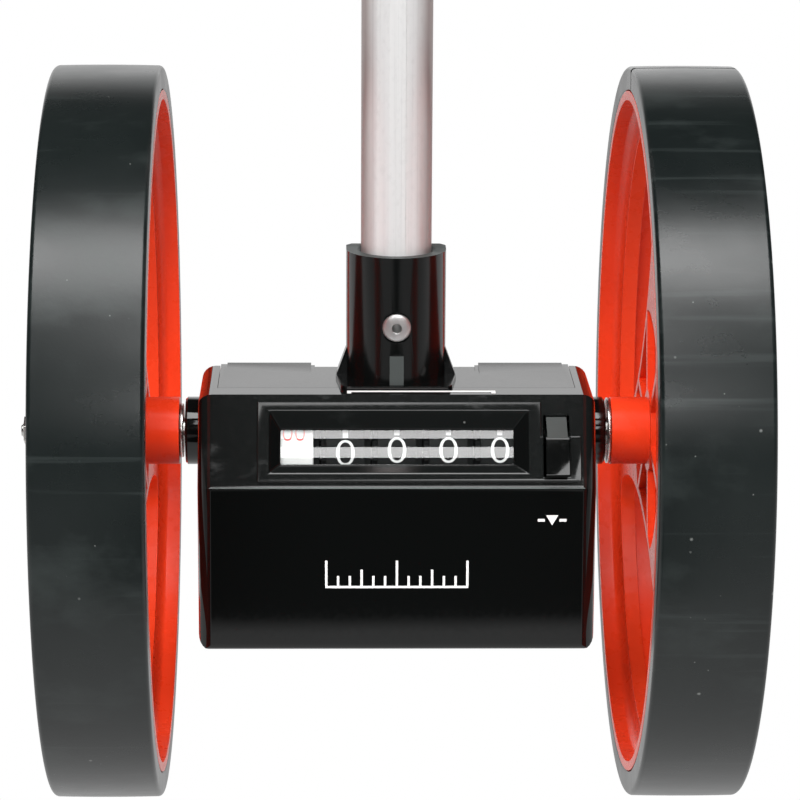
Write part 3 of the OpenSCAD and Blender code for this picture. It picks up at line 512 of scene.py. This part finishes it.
def figure_mesh(text, width, height, spin):
    """Flat outline of a number, centred on the origin and filled, turned by spin."""
    curve = bpy.data.curves.new("figure", "FONT")
    curve.body = text
    curve.offset = THIN_STROKE
    source = bpy.data.objects.new("figure", curve)
    bpy.context.scene.collection.objects.link(source)
    bpy.context.view_layer.update()
    mesh = bpy.data.meshes.new_from_object(source.evaluated_get(bpy.context.evaluated_depsgraph_get()))
    bpy.data.objects.remove(source)
    bm = bmesh.new()
    bm.from_mesh(mesh)
    xs = [v.co.x for v in bm.verts]
    ys = [v.co.y for v in bm.verts]
    middle = Vector(((max(xs) + min(xs)) / 2, (max(ys) + min(ys)) / 2, 0))
    scale = Vector((width / (max(xs) - min(xs)), height / (max(ys) - min(ys)), 0))
    turn = Matrix.Rotation(spin, 3, "Z")
    for v in bm.verts:
        v.co = turn @ ((v.co - middle) * scale)
    return bm


def slice_rows(bm, height, rows):
    """Cuts a flat mesh into rows, so that it can bend round a drum."""
    for i in range(1, rows):
        y = -height / 2 + height * i / rows
        geometry = bm.verts[:] + bm.edges[:] + bm.faces[:]
        bmesh.ops.bisect_plane(bm, geom=geometry, plane_co=(0, y, 0), plane_no=(0, 1, 0))


def wrap_on_drum(bm, x, centre, radius, angle):
    """Bends a flat figure onto a drum, facing angle (0 is -Y, rising towards +Z)."""
    for v in bm.verts:
        a = angle + v.co.y / radius
        v.co = Vector((x + v.co.x, centre.y - radius * math.cos(a), centre.z + radius * math.sin(a)))


def drum_middles():
    """Middle of each drum's figure band along X. The five drums have one pitch."""
    low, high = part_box("drum_5")
    width = high.x - (low.x + DRUM_FLANGE)
    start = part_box("input_gear")[1].x + width / 2
    end = high.x - width / 2
    return [start + (end - start) * i / 4 for i in range(5)]


def drum_figures(i, x, view):
    """The figures of one drum, at x. Its zero faces the view, the middle of the window, apart from ROLLED."""
    fast = i == 0
    low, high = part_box(f"drum_{i + 1}")
    centre = (low + high) / 2
    radius = (high.z - low.z) / 2 + FIGURE_RISE
    count = 5 if fast else 10
    pitch = 2 * math.pi / count
    height = (FAST_SHARE if fast else FIGURE_SHARE) * pitch * radius
    facing = math.atan2(view.z - centre.z, centre.y - view.y) + ROLLED[i] * pitch
    whole = bmesh.new()
    for n in range(count):
        text = f"{2 * n}0" if fast else str(n)
        width = FAST_WIDTH if fast else ONE_WIDTH if n == 1 else FIGURE_WIDTH
        figure = figure_mesh(text, width, height, BACK_TURNED)
        slice_rows(figure, height, FIGURE_ROWS)
        wrap_on_drum(figure, x, centre, radius, facing + n * pitch)
        part = bpy.data.meshes.new("figure_part")
        figure.to_mesh(part)
        figure.free()
        whole.from_mesh(part)
        bpy.data.meshes.remove(part)
    return mesh_of(whole, f"figures_{i + 1}")


def build_figures():
    """Ten figures round each drum, but five on the fast drum: every second ten, with two digits."""
    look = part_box("window_lens")
    view = (look[0] + look[1]) / 2
    for i, (body, x) in enumerate(zip(DRUM_BODIES, drum_middles())):
        ink, slot = (RED_INK, "fast_drum") if i == 0 else (WHITE_INK, "drum_plastic")
        piece(f"figures_{i + 1}", drum_figures(i, x, view), ink, body, slot, smooth=False)


# ---------- printed marks ----------

INK_RISE = 0.04 * MM        # how far ink stands off the plastic

class Face:
    """A flat place on the housing to print on: x and y in metres from its middle."""

    def __init__(self, middle, right, up):
        self.middle = Vector(middle)
        self.right = Vector(right).normalized()
        self.up = Vector(up).normalized()
        self.out = self.right.cross(self.up)

    def point(self, x, y):
        return self.middle + x * self.right + y * self.up + INK_RISE * self.out


def print_shapes(name, face, outlines):
    """Ink shapes on a face. Each outline is a list of (x, y) points."""
    bm = bmesh.new()
    for outline in outlines:
        bm.faces.new([bm.verts.new(face.point(x, y)) for x, y in outline])
    piece(name, mesh_of(bm, name), WHITE_INK, "chassis", "housing_plastic", smooth=False)


def rectangle(x0, y0, x1, y1):
    """Outline of a rectangle between two corners."""
    return [(x0, y0), (x1, y0), (x1, y1), (x0, y1)]


def scale_mark(face):
    """A plain scale of 13 ticks on a base line."""
    half, base, step, thick = 15.2 * MM, 14.0 * MM, 2.5 * MM, 0.5 * MM
    long_tick, middle_tick, short_tick = 5.6 * MM, 3.6 * MM, 2.2 * MM
    foot = base + thick
    shapes = [rectangle(-half, base, half, foot)]
    for i in range(-6, 7):
        x = i * step
        tall = long_tick if i % 6 == 0 else middle_tick if i % 3 == 0 else short_tick
        shapes.append(rectangle(x - thick / 2, foot, x + thick / 2, foot + tall))
    print_shapes("scale_mark", face, shapes)


def press_mark(face):
    """An arrow between two bars, under the lever."""
    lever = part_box("reset_lever")
    x, y = (lever[0].x + lever[1].x) / 2 - 0.9 * MM, 29.0 * MM
    arrow_half, arrow_rise = 1.3 * MM, 1.1 * MM
    bar_away, bar_half, bar_rise = 2.3 * MM, 0.75 * MM, 0.3 * MM
    arrow = [(x, y - arrow_rise), (x + arrow_half, y + arrow_rise), (x - arrow_half, y + arrow_rise)]
    bars = [rectangle(bar - bar_half, y - bar_rise, bar + bar_half, y + bar_rise)
            for bar in (x - bar_away, x + bar_away)]
    print_shapes("press_mark", face, [arrow] + bars)


def bracket_mark(face):
    """A line along the top's front edge, with a short leg at each end."""
    start, end, front, wide = -10.6 * MM, 21.0 * MM, -1.9 * MM, 1.3 * MM
    leg, leg_long = 0.9 * MM, 1.2 * MM
    shapes = [rectangle(start, front, end, front + wide)]
    shapes += [rectangle(x, front - leg_long, x + leg, front) for x in (start, end - leg)]
    print_shapes("bracket_mark", face, shapes)


def build_marks():
    """Printed marks on the housing's front and on its top."""
    low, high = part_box("front_housing")
    front = Face((0, low.y, low.z), (1, 0, 0), (0, 0, 1))
    top = Face((0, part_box("top_cover")[0].y, high.z), (1, 0, 0), (0, 1, 0))
    scale_mark(front)
    press_mark(front)
    bracket_mark(top)


# ---------- stage ----------

def build_floor():
    """White paper under the object, hidden from the camera. It glows with painted light, brighter near the
    object, and a patch in front of the counter is painted shade.
    """
    half, gap = 6.0, 1 * MM
    bm = bmesh.new()
    corners = [(-half, -half), (half, -half), (half, half), (-half, half)]
    bm.faces.new([bm.verts.new((x, y, cad_low.z - gap)) for x, y in corners])
    floor = bpy.data.objects.new("floor", mesh_of(bm, "floor"))
    bpy.context.scene.collection.objects.link(floor)
    f = Finish("floor_white")
    place = f.add("ShaderNodeSeparateXYZ", {"Vector": f.place()}).outputs
    # painted shade: a central patch in front of the counter glows far less
    middle = f.span(f.maths("ABSOLUTE", place["X"]), 0.062, 0.080, 1, 0)
    shaded = f.maths("MULTIPLY", middle, f.span(place["Y"], -0.172, -0.160, 1, 0))
    # painted light: the glow is brighter near the object and dimmer further in front
    lit = f.span(place["Y"], -0.30, -0.09, 0.35, 0.8)
    f.show(f.add("ShaderNodeEmission", {"Strength": f.maths("MULTIPLY", lit, f.span(shaded, 0, 1, 1, 0.03))}))
    floor.data.materials.append(f.material)
    floor.visible_camera = False
    floor.visible_shadow = False
    floor.visible_transmission = False


def build_world():
    """White to the camera. To the object it is a dark studio with a white backdrop low behind."""
    dark, backdrop, to_camera = 0.02, 1.25, 1.0
    world = bpy.data.worlds.new("studio")
    bpy.context.scene.world = world
    world.use_nodes = True
    tree = world.node_tree
    tree.nodes.clear()
    direction = add_node(tree, "ShaderNodeTexCoord").outputs["Generated"]
    back = add_node(tree, "ShaderNodeSeparateXYZ", {"Vector": direction}).outputs["Y"]
    behind = add_node(tree, "ShaderNodeMapRange", {
        "Value": back, "From Min": 0.80, "From Max": 0.93, "To Min": dark, "To Max": backdrop}).outputs[0]
    seen = add_node(tree, "ShaderNodeLightPath").outputs["Is Camera Ray"]
    strength = add_node(tree, "ShaderNodeMix", {
        MIX_SHARE: seen, MIX_VALUES[0]: behind, MIX_VALUES[1]: to_camera}, data_type="FLOAT").outputs[0]
    shine = add_node(tree, "ShaderNodeBackground", {"Color": (1, 1, 1, 1), "Strength": strength}).outputs[0]
    add_node(tree, "ShaderNodeOutputWorld", {"Surface": shine})


def softbox(name, angle, distance, size, radiance, side=0.0, shown_in_gloss=True):
    """A lamp in front of the object, aimed at the axle.

    angle is its height above the ground in degrees, and size is (width, height) in metres.
    """
    lamp = bpy.data.lights.new(name, "AREA")
    lamp.shape = "RECTANGLE"
    lamp.size, lamp.size_y = size
    lamp.energy = radiance * math.pi * size[0] * size[1]
    obj = bpy.data.objects.new(name, lamp)
    bpy.context.scene.collection.objects.link(obj)
    a = math.radians(angle)
    obj.location = AXLE + Vector((side, -distance * math.cos(a), distance * math.sin(a)))
    obj.rotation_euler = (AXLE - obj.location).to_track_quat("-Z", "Y").to_euler()
    obj.visible_glossy = shown_in_gloss


def build_lights():
    """Two small lamps for the bands in the window, a key light, and a wide fill kept out of reflections."""
    softbox("strip_light", angle=23, distance=1.2, size=(0.26, 0.19), radiance=5.5, side=0.06)
    softbox("upper_light", angle=41.5, distance=1.2, size=(0.24, 0.28), radiance=5.0, side=0.03)
    softbox("key_light", angle=66, distance=1.3, size=(0.9, 0.50), radiance=8)
    softbox("front_fill", angle=35, distance=1.9, size=(1.6, 1.0), radiance=9.5, side=-0.25,
            shown_in_gloss=False)


def build_camera():
    """Looks at the axle from the front, raised by elevation, with a small pan and tilt off the axle."""
    elevation = math.radians(14.5)
    distance, left, lift = 0.7137, 0.0134, 0.001
    pan, tilt = math.radians(1.163), math.radians(0.453)
    focal_length, sensor_width = 146.6, 36
    camera = bpy.data.objects.new("camera", bpy.data.cameras.new("camera"))
    bpy.context.scene.collection.objects.link(camera)
    camera.data.lens = focal_length
    camera.data.sensor_width = sensor_width
    camera.data.clip_start = 10 * MM
    aim = Matrix.Rotation(-pan, 4, "Z") @ Matrix.Rotation(math.radians(90) + tilt, 4, "X")
    raised = Matrix.Translation(AXLE) @ Matrix.Rotation(-elevation, 4, "X")
    camera.matrix_world = raised @ Matrix.Translation((-left, -distance, lift)) @ aim
    bpy.context.scene.camera = camera
    bpy.context.scene.view_settings.view_transform = "Standard"


finish_nodes()
finish_faces()
for which in WHEELS:
    build_tyre(which)
build_figures()
build_marks()
build_floor()
build_world()
build_lights()
build_camera()
